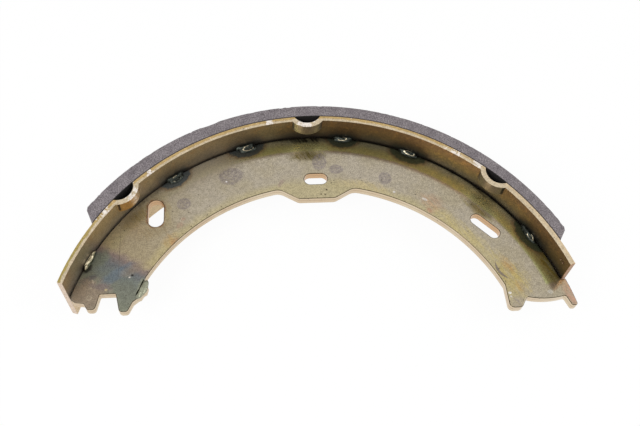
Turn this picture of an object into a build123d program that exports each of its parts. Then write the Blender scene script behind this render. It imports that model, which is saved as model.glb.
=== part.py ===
from build123d import *
import math
import os

# Shoe of a drum brake: a stamped web welded into a curved rim, with a friction lining bonded on the outside.
# All sizes are in millimetres. The shoe lies on its side: the web is level and the drum's axis is upright.
# Places on the shoe are measured from the drum's axis, angles in degrees clockwise from the shoe's middle,
# seen from above.

# Rim: the curved strip that carries the lining
rim_inner_radius = 97.4
rim_thickness = 2.0
rim_width = 29.0
rim_half_angle = 71.9

# Dents pressed into the rim's upper edge, which slide on the pads of the backing plate
dent_angles = (-47.1, -0.8, 45.4)
dent_chord = 12.4
dent_depth = 3.0
dent_height = 5.6
dent_ramp = 2.4
dent_corner_radius = 1.2

# Lining, ground on a centre a little off the drum's axis
lining_thickness = 5.4
grind_x = -0.65
grind_y = -0.55
lining_heel_angle = -56.8
lining_toe_angle = 65.8
lining_heel_slant = 1.9
lining_toe_slant = 1.7
lining_bevel = 0.9
adhesive_thickness = 0.2

# Web: the flat plate, set below the rim's upper edge
web_thickness = 4.0
web_depth = 12.1
web_gap = 0.3
web_width = 21.05
web_centre_x = 0.63
web_centre_y = -1.61

# Tab in the middle of the web's inner edge
tab_x = 1.25
tab_depth = 5.8
tab_flat = 14.5
tab_root = 29.5
tab_corner_radius = 3.5
tab_root_radius = 5.0

# Slots through the web, each placed by its distance in from the rim and its angle
middle_slot_length = 9.2
middle_slot_width = 4.8
middle_slot_inset = 19.8
middle_slot_angle = 0.9
left_slot_length = 11.6
left_slot_width = 6.1
left_slot_inset = 8.35
left_slot_angle = -43.95
right_slot_length = 13.3
right_slot_width = 4.6
right_slot_inset = 11.7
right_slot_angle = 51.0
right_slot_turn = -45.0

# Left end of the web: a shelf just below the rim's end, two prongs and the notch between them
shelf_drop = 2.85
shelf_hollow = 0.35
shelf_corner_radius = 2.8
notch_rise = 3.5
notch_inset = 8.9
notch_floor_width = 5.8
notch_flare = 1.5
notch_radius = 0.5
outer_prong_length = 2.5
outer_prong_width = 2.9
outer_prong_shoulder = 1.2
inner_prong_length = 3.8
inner_prong_width = 3.0
inner_prong_flare = 1.9
prong_radius = 1.5

# Torn lump on the inner side of the inner prong: height above the shelf and reach past the inner edge
burr_steps = ((1.5, 1.6), (1.8, 2.4), (3.4, 2.6), (3.9, 3.4), (6.0, 2.9), (7.1, 2.0))
burr_top = 8.8

# Right end of the web: a toe, a rounded seat and a hook that reaches past the rim
foot_inset = 0.35
foot_gap = 0.4
tip_drop = 11.05
toe_top_drop = 1.65
toe_lean = 0.5
toe_width = 4.8
toe_flare = 2.3
toe_radius = 2.0
seat_drop = 6.95
seat_crown = 0.95
hook_tip_width = 2.4
hook_flare = 1.8
hook_radius = 0.95
seat_corner_radius = 0.9

# Welds between the web's edge and the rim
weld_angles = (-62.3, -34.3, -16.0, 8.0, 24.0, 58.7)
weld_length = 6.4
weld_bead_length = 8.0
weld_bead_reach = 1.7
weld_bead_height = 1.7
weld_bead_levels = (0, 0.5, 0.85)

# Sizes that follow from these
rim_outer_radius = rim_inner_radius + rim_thickness
lining_inner_radius = rim_outer_radius + adhesive_thickness
lining_radius = lining_inner_radius + lining_thickness
web_outer_radius = rim_inner_radius - web_gap
web_inner_radius = web_outer_radius - web_width
foot_radius = rim_outer_radius - foot_inset
end_y = rim_inner_radius * math.cos(math.radians(rim_half_angle))
shelf_y = end_y - shelf_drop
tip_y = end_y - tip_drop
web_bottom = rim_width - web_depth - web_thickness
web_top = web_bottom + web_thickness
dent_radius = (dent_chord**2 / 4 + dent_depth**2) / (2 * dent_depth)
dent_axis_radius = rim_inner_radius - dent_depth + dent_radius
dent_slope = dent_ramp / dent_depth
hollow_radius = dent_radius - rim_thickness
ramp_setback = rim_thickness * (math.sqrt(1 + dent_slope**2) - dent_slope)
hollow_floor = rim_width - dent_height - dent_ramp + ramp_setback
hollow_mouth = math.sqrt(hollow_radius**2 - (dent_axis_radius - lining_inner_radius) ** 2)
hollow_half_angle = math.degrees(math.asin(hollow_mouth / lining_inner_radius))

# The model's origin is under the middle of the shoe, on the surface that it lies on
left_reach = rim_outer_radius * math.sin(math.radians(rim_half_angle))
right_reach = math.sqrt(foot_radius**2 - tip_y**2)
axis_x = (left_reach - right_reach) / 2
axis_y = -(grind_y + lining_radius + tip_y) / 2
drum = Plane(origin=(axis_x, axis_y, 0))


def at(radius, angle):
    """Point at a radius from the drum's axis and an angle from the shoe's middle."""
    turn = math.radians(angle)
    return Vector(radius * math.sin(turn), radius * math.cos(turn))


def ground(angle):
    """Point of the lining's ground face at an angle from the shoe's middle."""
    way = at(1, angle)
    along = grind_x * way.X + grind_y * way.Y
    offset = grind_x**2 + grind_y**2
    return at(along + math.sqrt(lining_radius**2 - offset + along**2), angle)


def inner_edge(y, side):
    """Point of the web's inner edge at a height y, on the left (-1) or the right (1)."""
    rise = y - web_centre_y
    return Vector(web_centre_x + side * math.sqrt(web_inner_radius**2 - rise**2), y)


def inner_edge_over(x):
    """Point of the web's inner edge at a distance x from the shoe's middle."""
    return Vector(x, web_centre_y + math.sqrt(web_inner_radius**2 - (x - web_centre_x) ** 2))


def between(start, end):
    """Point of the web's inner edge halfway between two others, in x."""
    return inner_edge_over((start.X + end.X) / 2)


def band(inner, outer, start, end):
    """Outline of a curved band between two radii and two angles."""
    middle = (start + end) / 2
    with BuildLine() as outline:
        ThreePointArc(at(outer, start), at(outer, middle), at(outer, end))
        Line(at(outer, end), at(inner, end))
        ThreePointArc(at(inner, end), at(inner, middle), at(inner, start))
        Line(at(inner, start), at(outer, start))
    return outline.line


def dent_plane(angle):
    """Upright plane through a dent's own axis, with its local x pointing at the drum's axis."""
    inward = -at(1, angle)
    place = drum.from_local_coords(at(dent_axis_radius, angle))
    return Plane(origin=place, x_dir=inward, z_dir=inward.cross(Vector(0, 0, 1)))


def dent_profile(wall):
    """Half section of a dent, from its own axis outwards. wall is 0 for the bump and the strip's
    thickness for the hollow behind it."""
    foot = dent_axis_radius - rim_inner_radius - wall
    floor = rim_width - dent_height - dent_ramp + wall * (math.sqrt(1 + dent_slope**2) - dent_slope)
    with BuildLine() as outline:
        Polyline(
            (0, floor),
            (foot, floor),
            (foot + dent_depth, floor + dent_ramp),
            (foot + dent_depth, rim_width),
            (0, rim_width),
            close=True,
        )
    return outline.line


# Rim: a band of strip, with each dent a bump on the inside and a hollow behind it
with BuildPart() as rim:
    for angle in dent_angles:
        plane = dent_plane(angle)
        with BuildSketch(plane) as bump:
            make_face(dent_profile(0))
            shoulder = (dent_radius, rim_width - dent_height)
            fillet(bump.vertices().sort_by_distance(shoulder)[0], dent_corner_radius)
        revolve(axis=Axis(plane.origin, plane.y_dir))
    with BuildSketch(drum):
        Circle(rim_outer_radius)
    extrude(amount=rim_width, mode=Mode.INTERSECT)
    with BuildSketch(drum):
        make_face(band(rim_inner_radius, rim_outer_radius, -rim_half_angle, rim_half_angle))
    extrude(amount=rim_width)
    for angle in dent_angles:
        plane = dent_plane(angle)
        with BuildSketch(plane):
            make_face(dent_profile(rim_thickness))
        revolve(axis=Axis(plane.origin, plane.y_dir), mode=Mode.SUBTRACT)

# Adhesive: the film between rim and lining, cut away over the hollow behind each dent
with BuildPart() as adhesive:
    with BuildSketch(drum):
        make_face(band(rim_outer_radius, lining_inner_radius, lining_heel_angle, lining_toe_angle))
    extrude(amount=rim_width)
    for angle in dent_angles:
        with BuildSketch(drum.offset(hollow_floor)):
            make_face(
                band(rim_inner_radius, lining_radius, angle - hollow_half_angle, angle + hollow_half_angle)
            )
        extrude(amount=rim_width, mode=Mode.SUBTRACT)

# Lining: inner face concentric with the rim, outer face ground, ends cut at a slant and bevelled
with BuildPart() as lining:
    with BuildSketch(drum):
        heel = ground(lining_heel_angle + lining_heel_slant)
        toe = ground(lining_toe_angle - lining_toe_slant)
        with BuildLine():
            ThreePointArc(heel, ground(0), toe)
            Line(toe, at(lining_inner_radius, lining_toe_angle))
            ThreePointArc(
                at(lining_inner_radius, lining_toe_angle),
                at(lining_inner_radius, 0),
                at(lining_inner_radius, lining_heel_angle),
            )
            Line(at(lining_inner_radius, lining_heel_angle), heel)
        outline = make_face()
        corners = outline.vertices()
        chamfer([corners.sort_by_distance(end)[0] for end in (heel, toe)], lining_bevel)
    extrude(amount=rim_width)

# Places on the web's left end, from the rim to the inner edge
shelf_corner = Vector(-math.sqrt(web_outer_radius**2 - shelf_y**2), shelf_y)
notch_x = inner_edge(shelf_y, -1).X - notch_inset
notch_left = Vector(notch_x - notch_floor_width / 2, shelf_y + notch_rise)
notch_right = Vector(notch_x + notch_floor_width / 2, shelf_y + notch_rise)
outer_prong_right = Vector(notch_left.X - notch_flare, shelf_y - outer_prong_length)
outer_prong_left = outer_prong_right - Vector(outer_prong_width, 0)
shelf_end = Vector(outer_prong_left.X - outer_prong_shoulder, shelf_y)
inner_prong_left = Vector(notch_right.X + notch_flare, shelf_y - inner_prong_length)
inner_prong_right = inner_prong_left + Vector(inner_prong_width, 0)
prong_root = Vector(inner_prong_right.X + inner_prong_flare, shelf_y)
burr = [inner_edge(shelf_y + rise, -1) + Vector(reach, 0) for rise, reach in burr_steps]
burr_end = inner_edge(shelf_y + burr_top, -1)

# Places on the web's right end, from the inner edge to the rim
toe_top = inner_edge(end_y - toe_top_drop, 1)
toe_left = Vector(toe_top.X + toe_lean, tip_y)
toe_right = toe_left + Vector(toe_width, 0)
seat_start = Vector(toe_right.X + toe_flare, end_y - seat_drop)
hook_right = Vector(right_reach, tip_y)
hook_left = hook_right - Vector(hook_tip_width, 0)
seat_end = Vector(hook_left.X - hook_flare, end_y - seat_drop)
seat_middle = (seat_start + seat_end) / 2 - Vector(0, seat_crown)
foot_angle = rim_half_angle + math.degrees(foot_gap / rim_inner_radius)
hook_angle = math.degrees(math.atan2(hook_right.X, hook_right.Y))

# Places on the tab
tab_root_left = inner_edge_over(tab_x - tab_root / 2)
tab_root_right = inner_edge_over(tab_x + tab_root / 2)
tab_foot = inner_edge_over(tab_x) - Vector(0, tab_depth)
tab_left = tab_foot - Vector(tab_flat / 2, 0)
tab_right = tab_foot + Vector(tab_flat / 2, 0)

web_corners = {
    shelf_corner_radius: (shelf_corner,),
    prong_radius: (outer_prong_left, outer_prong_right, inner_prong_left, inner_prong_right),
    notch_radius: (notch_left, notch_right, at(web_outer_radius, foot_angle), at(foot_radius, foot_angle)),
    toe_radius: (toe_left, toe_right),
    seat_corner_radius: (seat_start, seat_end),
    hook_radius: (hook_left, hook_right),
    tab_corner_radius: (tab_left, tab_right),
    tab_root_radius: (tab_root_left, tab_root_right),
}

# Web: its outline runs along the rim, round the right end, back along the inner edge and round the left end
with BuildPart() as web:
    with BuildSketch(drum.offset(web_bottom)) as plate:
        with BuildLine():
            ThreePointArc(shelf_corner, at(web_outer_radius, 0), at(web_outer_radius, foot_angle))
            Line(at(web_outer_radius, foot_angle), at(foot_radius, foot_angle))
            ThreePointArc(
                at(foot_radius, foot_angle),
                at(foot_radius, (foot_angle + hook_angle) / 2),
                hook_right,
            )
            Polyline(hook_right, hook_left, seat_end)
            ThreePointArc(seat_end, seat_middle, seat_start)
            Polyline(seat_start, toe_right, toe_left, toe_top)
            ThreePointArc(toe_top, between(toe_top, tab_root_right), tab_root_right)
            Polyline(tab_root_right, tab_right, tab_left, tab_root_left)
            ThreePointArc(tab_root_left, between(tab_root_left, burr_end), burr_end)
            Polyline(burr_end, *reversed(burr), prong_root)
            Polyline(prong_root, inner_prong_right, inner_prong_left, notch_right)
            Polyline(notch_right, notch_left, outer_prong_right, outer_prong_left, shelf_end)
            ThreePointArc(
                shelf_end, (shelf_end + shelf_corner) / 2 + Vector(0, shelf_hollow), shelf_corner
            )
        make_face()
        for radius, places in web_corners.items():
            corners = plate.vertices()
            fillet([corners.sort_by_distance(place)[0] for place in places], radius)
        with Locations(at(rim_inner_radius - middle_slot_inset, middle_slot_angle)):
            SlotOverall(middle_slot_length, middle_slot_width, mode=Mode.SUBTRACT)
        with Locations(at(rim_inner_radius - left_slot_inset, left_slot_angle)):
            SlotOverall(left_slot_length, left_slot_width, rotation=90, mode=Mode.SUBTRACT)
        with Locations(at(rim_inner_radius - right_slot_inset, right_slot_angle)):
            SlotOverall(right_slot_length, right_slot_width, rotation=right_slot_turn, mode=Mode.SUBTRACT)
    extrude(amount=web_thickness)


def weld_piece(angle):
    """One weld: metal that fills the gap at the web's edge, with a rounded bead in the corner on both
    faces. Each bead's flat back meets the curved rim at its two ends."""
    across = at(1, angle + 90)
    half_turn = math.degrees(weld_length / 2 / rim_inner_radius)
    back_radius = math.sqrt(rim_inner_radius**2 - (weld_bead_length / 2) ** 2)
    with BuildPart() as weld:
        for face_height, up in ((web_bottom, -1), (web_top, 1)):
            corner = drum.offset(face_height).from_local_coords(at(back_radius, angle))
            face = Plane(origin=corner, x_dir=-across * up, z_dir=(0, 0, up))
            for level in weld_bead_levels:
                share = math.sqrt(1 - level**2)
                half = weld_bead_length / 2 * share
                with BuildSketch(face.offset(level * weld_bead_height)):
                    with BuildLine():
                        EllipticalCenterArc((0, 0), half, weld_bead_reach * share, start_angle=0, arc_size=180)
                        Line((-half, 0), (half, 0))
                    make_face()
            loft()
        with BuildSketch(drum.offset(web_bottom)):
            make_face(band(web_outer_radius, rim_inner_radius, angle - half_turn, angle + half_turn))
        extrude(amount=web_thickness)
    return weld.part


pieces = {"web": web.part, "rim": rim.part, "adhesive": adhesive.part, "lining": lining.part}
for number, angle in enumerate(weld_angles, start=1):
    pieces[f"weld_{number}"] = weld_piece(angle)

os.makedirs("parts", exist_ok=True)
for name, piece in pieces.items():
    piece.label = name
    export_step(piece, f"parts/{name}.step")
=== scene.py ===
# %% [markdown]
# # A drum-brake shoe, dressed in Blender
#
# The shoe is a steel stamping: a flat web welded inside a curved rim, with a block of friction
# lining glued round the outside. Its solids arrive from CAD at their real size. What is left to
# do here is what a CAD model can't hold: rounded press edges, weld craters, grain in the lining,
# and the stained yellow-grey plating that makes the part look like one from a real workshop.
#
# Each step below is one cell. Read them in order: camera and light first, then the finishes,
# then the pieces that wear them.

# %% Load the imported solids
import math
import random

import bpy
from mathutils import Matrix, Vector


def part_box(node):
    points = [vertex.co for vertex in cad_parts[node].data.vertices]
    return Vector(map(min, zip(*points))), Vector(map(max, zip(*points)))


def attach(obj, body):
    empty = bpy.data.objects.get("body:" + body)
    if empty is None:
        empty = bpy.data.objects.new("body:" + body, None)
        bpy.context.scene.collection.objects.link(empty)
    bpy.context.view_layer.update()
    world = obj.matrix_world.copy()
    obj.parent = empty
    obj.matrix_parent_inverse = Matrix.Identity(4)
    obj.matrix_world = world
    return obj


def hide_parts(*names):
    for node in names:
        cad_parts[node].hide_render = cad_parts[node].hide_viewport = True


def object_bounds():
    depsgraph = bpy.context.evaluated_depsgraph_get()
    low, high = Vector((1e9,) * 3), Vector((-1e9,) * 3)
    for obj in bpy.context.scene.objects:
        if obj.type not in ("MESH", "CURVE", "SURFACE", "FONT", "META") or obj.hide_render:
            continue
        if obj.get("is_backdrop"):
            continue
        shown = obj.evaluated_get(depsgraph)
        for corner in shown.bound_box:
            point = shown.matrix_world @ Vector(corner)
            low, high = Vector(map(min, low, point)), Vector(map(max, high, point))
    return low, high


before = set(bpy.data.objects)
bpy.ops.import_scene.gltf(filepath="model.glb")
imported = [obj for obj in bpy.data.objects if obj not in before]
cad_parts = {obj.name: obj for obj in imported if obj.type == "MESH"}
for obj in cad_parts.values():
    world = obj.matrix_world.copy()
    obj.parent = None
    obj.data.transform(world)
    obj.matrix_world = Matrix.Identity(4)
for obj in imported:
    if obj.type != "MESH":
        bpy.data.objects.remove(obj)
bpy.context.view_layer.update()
bpy.ops.object.select_all(action="DESELECT")
print("CAD nodes:", ", ".join(sorted(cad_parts)))

# %% [markdown]
# ## Where things are
#
# Blender works in metres, but a brake shoe is easier to think about in millimetres. The drum's
# axis is the best reference for everything on it, because the rim, the web and the lining are all
# drawn round it. A small helper turns a radius and an angle into a place. The heights come from
# the solids themselves, so they stay right if the CAD model changes.

# %% Real sizes and places
MM = 0.001
DRUM_X = -1.344 * MM
DRUM_Y = -61.83 * MM
WEB_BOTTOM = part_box("web")[0].z
WEB_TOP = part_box("web")[1].z
RIM_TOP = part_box("rim")[1].z
RIM_INNER_RADIUS = 97.4 * MM
RIM_HALF_ANGLE = 71.9
LEFT_DENT_ANGLE = -45.6
LINING_INNER_RADIUS = 99.6 * MM
LINING_RADIUS = 105.0 * MM
HEEL_ANGLE = -56.8
TOE_ANGLE = 65.8
# The lining's ground face and the web's inner edge have centres of their own
GRIND_X = DRUM_X - 0.65 * MM
GRIND_Y = DRUM_Y - 0.55 * MM
WEB_INNER_RADIUS = 76.05 * MM
WEB_CENTRE_X = DRUM_X + 0.63 * MM
WEB_CENTRE_Y = DRUM_Y - 1.61 * MM


def polar(radius, angle, height=0.0):
    """Place at a radius from the drum's axis and an angle clockwise from the shoe's middle."""
    turn = math.radians(angle)
    return Vector((DRUM_X + radius * math.sin(turn), DRUM_Y + radius * math.cos(turn), height))


print("web top at", round(WEB_TOP / MM, 2), "mm, rim top at", round(RIM_TOP / MM, 2), "mm")

# %% [markdown]
# ## Camera
#
# The view is from the hollow side of the shoe, well above it and turned a little to one side. The
# camera's place was worked out from how the rim's and the lining's arcs flatten in perspective.
# Three turns say where it looks: a turn of the whole camera about the upright, a tilt away from
# looking straight down, and a small roll.

# %% Place the camera
CAMERA_PLACE = Vector((DRUM_X - 22.92 * MM, DRUM_Y - 100.14 * MM, WEB_TOP + 303.33 * MM))
CAMERA_TURN = -8.722
CAMERA_TILT = 28.399
CAMERA_ROLL = 5.852
CAMERA_LENS = 49.474

turn = Matrix.Rotation(math.radians(CAMERA_TURN), 3, "Z")
tilt = Matrix.Rotation(math.radians(CAMERA_TILT), 3, "X")
roll = Matrix.Rotation(math.radians(CAMERA_ROLL), 3, "Z")
bpy.ops.object.camera_add(location=CAMERA_PLACE, rotation=(turn @ tilt @ roll).to_euler())
camera = bpy.context.object
camera.name = "studio_camera"
camera.data.lens = CAMERA_LENS
camera.data.clip_start = 0.01
bpy.context.scene.camera = camera
bpy.context.scene.view_settings.view_transform = "Standard"
print("camera", round(CAMERA_PLACE.z / MM), "mm above the bench, with a lens of", CAMERA_LENS, "mm")

# %% [markdown]
# ## Shader nodes in plain code
#
# A procedural finish is a small machine of nodes, and building one in Python soon fills the page
# with sockets. These helpers keep it readable: `node` adds one, `feed` fills an input with a
# number or with another node's output, and `calc`, `blend` and `ramp` cover most of what a finish
# needs. Colours are written as they look on screen, 0 to 255, and `tone` turns them into the
# linear values that the renderer works with.

# %% Helpers for node trees
def tone(red, green, blue):
    """Linear colour from one written as it looks on screen, 0 to 255 a channel."""
    parts = [value / 255 for value in (red, green, blue)]
    return tuple(p / 12.92 if p <= 0.04045 else ((p + 0.055) / 1.055) ** 2.4 for p in parts) + (1.0,)


def node(tree, kind, **settings):
    """A new node of that kind, with its settings filled in."""
    new = tree.nodes.new("ShaderNode" + kind)
    for name, value in settings.items():
        setattr(new, name, value)
    return new


def feed(tree, socket, value):
    """Fills an input with a plain value, or links another node's output to it."""
    if isinstance(value, bpy.types.NodeSocket):
        tree.links.new(value, socket)
    else:
        socket.default_value = value


def fill(tree, sockets, **values):
    """Fills several inputs by name. A name is written with _ for each space."""
    for name, value in values.items():
        feed(tree, sockets[name.replace("_", " ")], value)


def blend(tree, factor, first, second, way="MIX"):
    """Output of a colour Mix node: the second colour over the first one."""
    new = node(tree, "Mix", data_type="RGBA", blend_type=way)
    feed(tree, new.inputs[0], factor)
    feed(tree, new.inputs[6], first)
    feed(tree, new.inputs[7], second)
    return new.outputs[2]


def ramp(tree, value, low, high, start=0.0, end=1.0, smooth=True):
    """Moves a value from the range low to high into the range start to end."""
    new = node(tree, "MapRange", interpolation_type="SMOOTHSTEP" if smooth else "LINEAR")
    for socket, number in zip(new.inputs, (value, low, high, start, end)):
        feed(tree, socket, number)
    return new.outputs[0]


def noise(tree, point, scale, detail=3.0, roughness=0.55):
    """Output of a Noise node, 0 to 1, with the scale in features per millimetre."""
    new = node(tree, "TexNoise")
    fill(tree, new.inputs, Vector=point, Scale=scale, Detail=detail, Roughness=roughness)
    return new.outputs["Fac"]


def cells(tree, point, scale):
    """Distance to the middle of the nearest cell of a Voronoi pattern."""
    new = node(tree, "TexVoronoi", feature="F1")
    fill(tree, new.inputs, Vector=point, Scale=scale)
    return new.outputs["Distance"]


def shade(tree, colour, value, low, high, dark, light):
    """Multiplies a colour by a grey that runs from dark to light as a value runs from low to high."""
    return blend(tree, 1.0, colour, ramp(tree, value, low, high, dark, light), way="MULTIPLY")


def tally(name, tree):
    """Prints how many nodes a tree has so far."""
    print(f"{name}: {len(tree.nodes)} nodes")


# %% Helpers for sums in a node tree
def calc(tree, operation, *values):
    """Output of a Math node."""
    new = node(tree, "Math", operation=operation)
    for socket, value in zip(new.inputs, values):
        feed(tree, socket, value)
    return new.outputs[0]


def fold(tree, operation, values):
    """Joins a list of values with one operation, such as their sum or the least of them."""
    total, *others = values
    for value in others:
        total = calc(tree, operation, total, value)
    return total


def product(tree, *values):
    """All the values multiplied together."""
    return fold(tree, "MULTIPLY", values)


def gap(tree, first, second):
    """How far apart two values are."""
    return calc(tree, "ABSOLUTE", calc(tree, "SUBTRACT", first, second))


def length(tree, *sides):
    """Length of a line, from how far it goes each way."""
    return calc(tree, "SQRT", fold(tree, "ADD", [calc(tree, "POWER", side, 2.0) for side in sides]))


def vector_calc(tree, operation, first, second):
    """Output of a Vector Math node: a number for a distance or a dot product, and otherwise a vector."""
    new = node(tree, "VectorMath", operation=operation)
    feed(tree, new.inputs[0], first)
    feed(tree, new.inputs[1], second)
    return new.outputs["Value" if operation in ("DISTANCE", "DOT_PRODUCT") else "Vector"]


def turned(tree, vector, angle):
    """A vector turned about the upright by an angle in radians."""
    new = node(tree, "VectorRotate", rotation_type="Z_AXIS")
    fill(tree, new.inputs, Vector=vector, Angle=angle)
    return new.outputs[0]


def split(tree, vector):
    """The three parts of a vector."""
    new = node(tree, "SeparateXYZ")
    feed(tree, new.inputs[0], vector)
    return new.outputs


# %% Helpers for node groups
def new_group(name, inputs, outputs):
    """An empty shader node group: its sockets are given as (name, kind, default)."""
    tree = bpy.data.node_groups.new(name, "ShaderNodeTree")
    for label, kind, default in inputs:
        socket = tree.interface.new_socket(label, in_out="INPUT", socket_type="NodeSocket" + kind)
        if default is not None:
            socket.default_value = default
    for label, kind in outputs:
        tree.interface.new_socket(label, in_out="OUTPUT", socket_type="NodeSocket" + kind)
    return tree, tree.nodes.new("NodeGroupInput").outputs, tree.nodes.new("NodeGroupOutput").inputs


def use(tree, group, label="", **values):
    """Places a group, with a label to find it by, and fills its inputs."""
    new = node(tree, "Group", node_tree=group, label=label)
    fill(tree, new.inputs, **values)
    return new.outputs


# %% [markdown]
# ## Knowing where a pixel is
#
# Most stains on this shoe follow its shape, and so do the painted reflection and shade: a blush along the
# inner edge, an olive band under the rim that is a painted reflection of it, a burnt oval at each weld. So
# the first group turns a shading point into the terms of the part: a place in millimetres, a radius and an
# angle about the drum's axis, and how far the surface leans. It reads Object coordinates, which stay with the
# piece wherever it is moved or exported.

# %% Group: place on the shoe
place_group, group_in, group_out = new_group(
    "Place on the shoe",
    [],
    [("Place", "Vector"), ("Radius", "Float"), ("Angle", "Float"), ("Height", "Float"),
     ("Inset", "Float"), ("Up", "Float"), ("Outward", "Float")],
)
tree = place_group
coordinates = node(tree, "TexCoord")
in_mm = node(tree, "VectorMath", operation="SCALE")
feed(tree, in_mm.inputs[0], coordinates.outputs["Object"])
feed(tree, in_mm.inputs["Scale"], 1 / MM)
x, y, height = split(tree, in_mm.outputs[0])
facing_x, facing_y, facing_up = split(tree, coordinates.outputs["Normal"])
from_axis_x = calc(tree, "SUBTRACT", x, DRUM_X / MM)
from_axis_y = calc(tree, "SUBTRACT", y, DRUM_Y / MM)
radius = length(tree, from_axis_x, from_axis_y)
centre_radius = length(
    tree, calc(tree, "SUBTRACT", x, WEB_CENTRE_X / MM), calc(tree, "SUBTRACT", y, WEB_CENTRE_Y / MM)
)
lean = calc(tree, "MULTIPLY_ADD", from_axis_y, facing_y, product(tree, from_axis_x, facing_x))
fill(
    tree, group_out, Place=in_mm.outputs[0], Radius=radius,
    Angle=calc(tree, "DEGREES", calc(tree, "ARCTAN2", from_axis_x, from_axis_y)), Height=height,
    Inset=calc(tree, "SUBTRACT", centre_radius, WEB_INNER_RADIUS / MM), Up=facing_up,
    Outward=calc(tree, "DIVIDE", lean, radius),
)
tally("place group", tree)

# %% [markdown]
# ## A stain with a ragged edge
#
# A stain is an ellipse whose edge is eaten by noise. Turning the point about the stain's centre and dividing
# by its half sizes gives a distance that is 1 on the edge, whatever the shape. One group then serves for rust
# freckles, fingerprints, scratches and the blue of overheated steel, and also for the painted reflections,
# shade and highlights.

# %% Group: stain
stain_group, group_in, group_out = new_group(
    "Stain",
    [("Place", "Vector", None), ("Centre", "Vector", None), ("Half length", "Float", 3.0),
     ("Half width", "Float", 3.0), ("Turn", "Float", 0.0), ("Softness", "Float", 0.3),
     ("Raggedness", "Float", 0.3)],
    [("Mask", "Float"), ("Distance", "Float")],
)
tree = stain_group
offset = vector_calc(tree, "SUBTRACT", group_in["Place"], group_in["Centre"])
along, across, _ = split(tree, turned(tree, offset, calc(tree, "RADIANS", group_in["Turn"])))
along = calc(tree, "DIVIDE", along, group_in["Half length"])
across = calc(tree, "DIVIDE", across, group_in["Half width"])
wobble = calc(tree, "SUBTRACT", noise(tree, group_in["Place"], 0.45, 4.0, 0.65), 0.5)
ragged = product(tree, group_in["Raggedness"], 2.0)
reach = calc(tree, "MULTIPLY_ADD", wobble, ragged, length(tree, along, across))
inner = calc(tree, "SUBTRACT", 1.0, group_in["Softness"])
outer = calc(tree, "ADD", 1.0, group_in["Softness"])
fill(tree, group_out, Mask=ramp(tree, reach, inner, outer, 1.0, 0.0), Distance=reach)
tally("stain group", tree)


def use_oval(tree, label, point, centre, half_length, half_width, turn_angle, softness, ragged):
    """Places one ragged oval on the web's top face and gives its mask and distance."""
    return use(
        tree, stain_group, label, Place=point, Centre=(*centre, WEB_TOP / MM), Half_length=half_length,
        Half_width=half_width, Turn=-turn_angle, Softness=softness, Raggedness=ragged,
    )


def paint_stains_and_light(tree, colour, point, stains, softness, ragged, *masks):
    """Lays a list of stains and of painted patches of light and shade over a colour, each with its own tint
    and strength.
    """
    for label, *oval, tint, strength in stains:
        stain = use_oval(tree, label, point, *oval, softness, ragged)
        colour = blend(tree, product(tree, stain["Mask"], strength, *masks), colour, tint)
    return colour


# %% [markdown]
# ## The grain of plated sheet steel
#
# Zinc plating with a yellow passivation isn't smooth. Under a lens it is a crowd of pale and dark
# specks a few tenths of a millimetre across, with dark pits, over slow clouds of tint. The group
# puts these out as three masks, and a height for the bump.

# %% Group: plating grain
grain_group, group_in, group_out = new_group(
    "Plating grain",
    [("Place", "Vector", None)],
    [("Specks", "Float"), ("Dark pits", "Float"), ("Clouds", "Float"), ("Height", "Float")],
)
tree = grain_group
point = group_in["Place"]
fine = noise(tree, point, 2.3, 2.0, 0.6)
coarse = noise(tree, point, 0.7, 2.0, 0.5)
specks = calc(tree, "ADD", product(tree, fine, 0.7), product(tree, coarse, 0.3))
pit_edge = ramp(tree, noise(tree, point, 0.5, 1.0), 0.42, 0.7, 0.0, 0.17)
past_edge = calc(tree, "SUBTRACT", cells(tree, point, 0.62), pit_edge)
pits = ramp(tree, past_edge, -0.03, 0.03, 1.0, 0.0)
fill(
    tree, group_out, Specks=specks, Dark_pits=pits, Clouds=noise(tree, point, 0.09, 4.0, 0.6),
    Height=calc(tree, "SUBTRACT", specks, product(tree, pits, 0.5)),
)
tally("grain group", tree)

# %% [markdown]
# ## One shader for every finish
#
# Every finish ends the same way: a colour, a roughness, how metallic it is, and a bump from a
# height in millimetres. Keeping the Principled shader in each material, and only the patterns in
# groups, is what lets the finish be baked to plain textures later.

# %% Helpers: start and finish a material
def new_material(name):
    """An empty material with its tree, its shader, the shoe's place, and the point that patterns read."""
    material = bpy.data.materials.new(name)
    material.use_nodes = True
    tree = material.node_tree
    place = use(tree, place_group)
    return material, tree, tree.nodes["Principled BSDF"], place, place["Place"]


def add_bump(tree, shader, height, depth, strength):
    """Bump from a height of 0 to 1 that stands for a depth in millimetres."""
    bump = node(tree, "Bump")
    fill(tree, bump.inputs, Height=height, Distance=depth * MM, Strength=strength)
    feed(tree, shader.inputs["Normal"], bump.outputs[0])


# %% [markdown]
# ## The web's finish
#
# The web is the plate that carries the slots. Its plating is dull grey-tan and slightly glossy: glossy enough
# to mirror the rim beside it as an olive band. That band is also painted into its colour as a painted
# reflection, with more painted reflections and shade under the dents and painted shade in the corner under
# the rim. Over that lie the part's own stains, each at its real place: purple-grey thumb-sized rings, yellow
# drained to the inner edge, rust freckles, and the blue, green and brown of the end that was overheated.

# %% Rings and patches of the web
# Each stain has a name, the place of its middle, its half length and half width (mm) and its turn
PURPLE_GREY = tone(126, 116, 118)
RING_STAINS = (
    ("by the left slot", (-52.4, 6.1), 2.6, 2.4, 20),
    ("left of the tab", (-33.9, 17.9), 4.6, 3.5, 10),
    ("above the middle slot", (1.7, 23.5), 2.7, 3.5, 0),
    ("right of the middle slot", (8.3, 20.0), 2.6, 2.0, 0),
    ("right of the tab", (27.8, 15.1), 2.4, 2.6, 0),
)
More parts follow.
